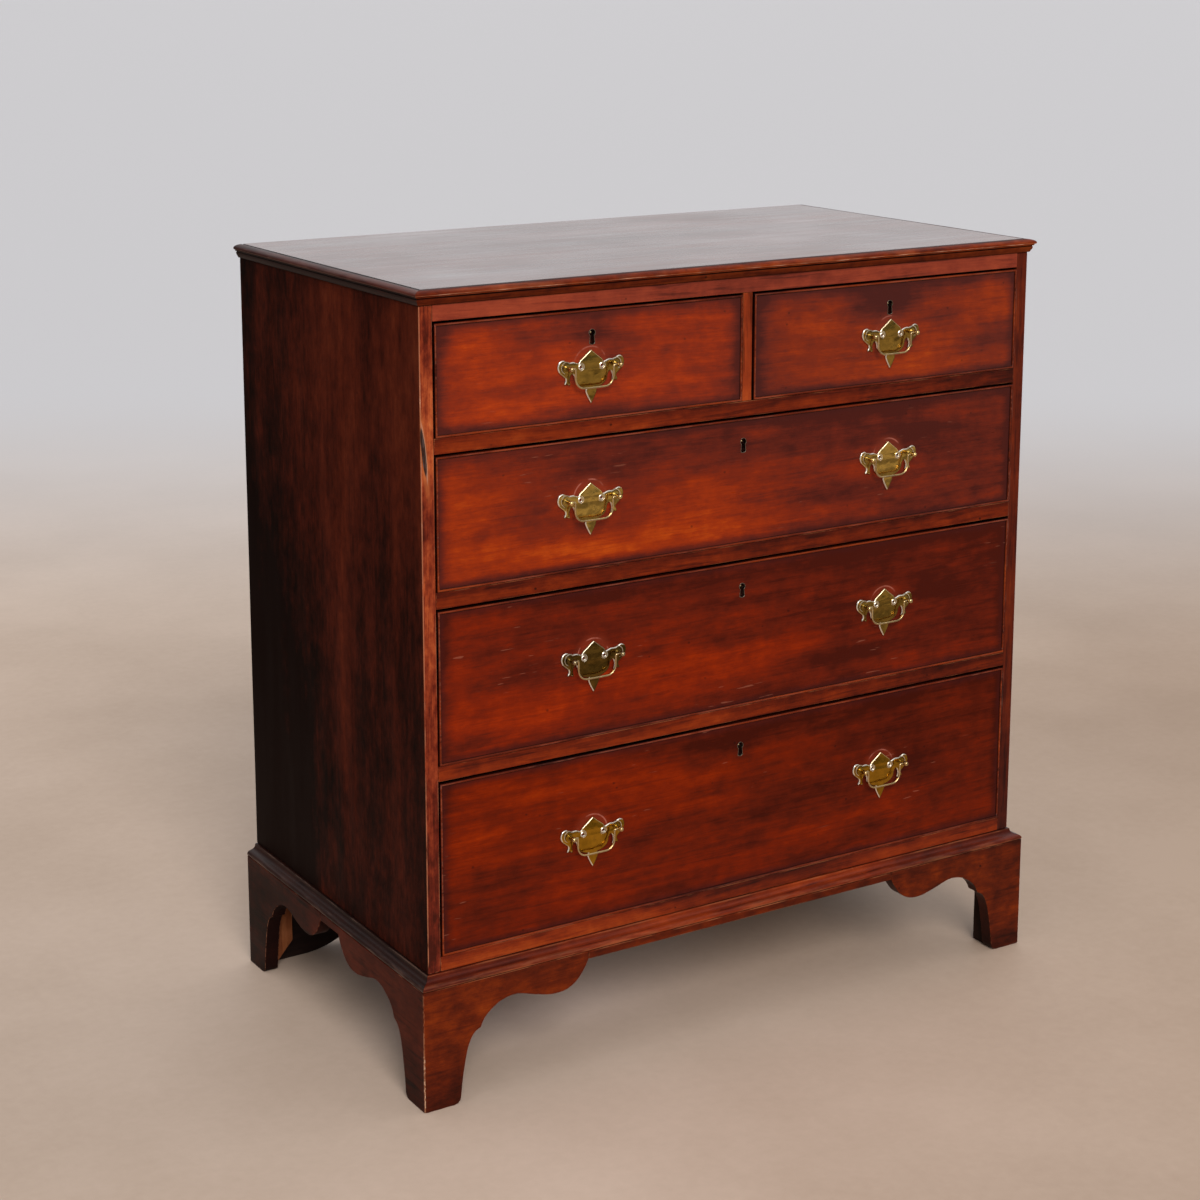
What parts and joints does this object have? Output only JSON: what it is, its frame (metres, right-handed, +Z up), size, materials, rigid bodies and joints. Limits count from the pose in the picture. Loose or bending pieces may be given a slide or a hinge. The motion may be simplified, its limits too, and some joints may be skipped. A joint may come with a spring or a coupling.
{
  "type": "chest of drawers",
  "caption": "Free-standing wooden chest with two short and three long beaded drawers, thumb-moulded top, bracket feet, brass bail handles; drawers slide, bails swing.",
  "frame": {"origin": "on the floor, at the middle of the chest's outline seen from above", "axes": "+X to the right seen from the front, +Y to the back, +Z up; the drawers pull out along -Y"},
  "size_m": [0.9606, 0.5269, 1.015],
  "materials": {
    "mahogany": "polished reddish brown, worn and lightly streaked",
    "mahogany_top": "polished, slightly faded brown-red",
    "mahogany_dark": "polished, darkened with age",
    "drawer_lining_oak": "dry unpolished boards",
    "carcase_pine": "dry unpolished boards",
    "aged_brass": "polished, aged in the recesses"
  },
  "bodies": {
    "case": {"top_board": "mahogany_top", "top_moulding": "mahogany", "case_side_left": "mahogany_dark", "case_side_right": "mahogany_dark", "back_panel": "carcase_pine", "case_bottom": "mahogany", "top_rail": "mahogany", "drawer_divider_upper": "mahogany", "drawer_divider_middle": "mahogany", "drawer_divider_lower": "mahogany", "centre_partition": "mahogany", "base_moulding_front": "mahogany", "base_moulding_left": "mahogany_dark", "base_moulding_right": "mahogany_dark", "base_rail_front": "mahogany", "foot_front_left": "mahogany", "foot_front_right": "mahogany", "foot_rear_left": "mahogany_dark", "foot_rear_right": "mahogany_dark"},
    "drawer_1": {"drawer_1_front": "mahogany", "drawer_1_side_left": "drawer_lining_oak", "drawer_1_side_right": "drawer_lining_oak", "drawer_1_back": "drawer_lining_oak", "drawer_1_bottom": "drawer_lining_oak", "drawer_1_handle_plate": "aged_brass"},
    "drawer_1_bail": {"drawer_1_bail": "aged_brass"},
    "drawer_2": {"drawer_2_front": "mahogany", "drawer_2_side_left": "drawer_lining_oak", "drawer_2_side_right": "drawer_lining_oak", "drawer_2_back": "drawer_lining_oak", "drawer_2_bottom": "drawer_lining_oak", "drawer_2_handle_plate": "aged_brass"},
    "drawer_2_bail": {"drawer_2_bail": "aged_brass"},
    "drawer_3": {"drawer_3_front": "mahogany", "drawer_3_side_left": "drawer_lining_oak", "drawer_3_side_right": "drawer_lining_oak", "drawer_3_back": "drawer_lining_oak", "drawer_3_bottom": "drawer_lining_oak", "drawer_3_left_handle_plate": "aged_brass", "drawer_3_right_handle_plate": "aged_brass"},
    "drawer_3_left_bail": {"drawer_3_left_bail": "aged_brass"},
    "drawer_3_right_bail": {"drawer_3_right_bail": "aged_brass"},
    "drawer_4": {"drawer_4_front": "mahogany", "drawer_4_side_left": "drawer_lining_oak", "drawer_4_side_right": "drawer_lining_oak", "drawer_4_back": "drawer_lining_oak", "drawer_4_bottom": "drawer_lining_oak", "drawer_4_left_handle_plate": "aged_brass", "drawer_4_right_handle_plate": "aged_brass"},
    "drawer_4_left_bail": {"drawer_4_left_bail": "aged_brass"},
    "drawer_4_right_bail": {"drawer_4_right_bail": "aged_brass"},
    "drawer_5": {"drawer_5_front": "mahogany", "drawer_5_side_left": "drawer_lining_oak", "drawer_5_side_right": "drawer_lining_oak", "drawer_5_back": "drawer_lining_oak", "drawer_5_bottom": "drawer_lining_oak", "drawer_5_left_handle_plate": "aged_brass", "drawer_5_right_handle_plate": "aged_brass"},
    "drawer_5_left_bail": {"drawer_5_left_bail": "aged_brass"},
    "drawer_5_right_bail": {"drawer_5_right_bail": "aged_brass"}
  },
  "joints": [
    {"name": "drawer_1_slide", "type": "slide", "parent": "case", "child": "drawer_1", "axis": [0, -1, 0], "range_m": [0, 0.4]},
    {"name": "drawer_1_bail_hinge", "type": "hinge", "parent": "drawer_1", "child": "drawer_1_bail", "pos_m": [-0.2317, -0.25675, 0.9055], "axis": [-1, 0, 0], "range_deg": [-14, 155]},
    {"name": "drawer_2_slide", "type": "slide", "parent": "case", "child": "drawer_2", "axis": [0, -1, 0], "range_m": [0, 0.4]},
    {"name": "drawer_2_bail_hinge", "type": "hinge", "parent": "drawer_2", "child": "drawer_2_bail", "pos_m": [0.2305, -0.25675, 0.905], "axis": [-1, 0, 0], "range_deg": [-14, 155]},
    {"name": "drawer_3_slide", "type": "slide", "parent": "case", "child": "drawer_3", "axis": [0, -1, 0], "range_m": [0, 0.4]},
    {"name": "drawer_3_left_bail_hinge", "type": "hinge", "parent": "drawer_3", "child": "drawer_3_left_bail", "pos_m": [-0.2325, -0.25675, 0.741], "axis": [-1, 0, 0], "range_deg": [-14, 155]},
    {"name": "drawer_3_right_bail_hinge", "type": "hinge", "parent": "drawer_3", "child": "drawer_3_right_bail", "pos_m": [0.231, -0.25675, 0.741], "axis": [-1, 0, 0], "range_deg": [-14, 155]},
    {"name": "drawer_4_slide", "type": "slide", "parent": "case", "child": "drawer_4", "axis": [0, -1, 0], "range_m": [0, 0.4]},
    {"name": "drawer_4_left_bail_hinge", "type": "hinge", "parent": "drawer_4", "child": "drawer_4_left_bail", "pos_m": [-0.228, -0.25675, 0.5395], "axis": [-1, 0, 0], "range_deg": [-14, 155]},
    {"name": "drawer_4_right_bail_hinge", "type": "hinge", "parent": "drawer_4", "child": "drawer_4_right_bail", "pos_m": [0.231, -0.25675, 0.5395], "axis": [-1, 0, 0], "range_deg": [-14, 155]},
    {"name": "drawer_5_slide", "type": "slide", "parent": "case", "child": "drawer_5", "axis": [0, -1, 0], "range_m": [0, 0.4]},
    {"name": "drawer_5_left_bail_hinge", "type": "hinge", "parent": "drawer_5", "child": "drawer_5_left_bail", "pos_m": [-0.2295, -0.25675, 0.3095], "axis": [-1, 0, 0], "range_deg": [-14, 155]},
    {"name": "drawer_5_right_bail_hinge", "type": "hinge", "parent": "drawer_5", "child": "drawer_5_right_bail", "pos_m": [0.231, -0.25675, 0.3095], "axis": [-1, 0, 0], "range_deg": [-14, 155]}
  ]
}
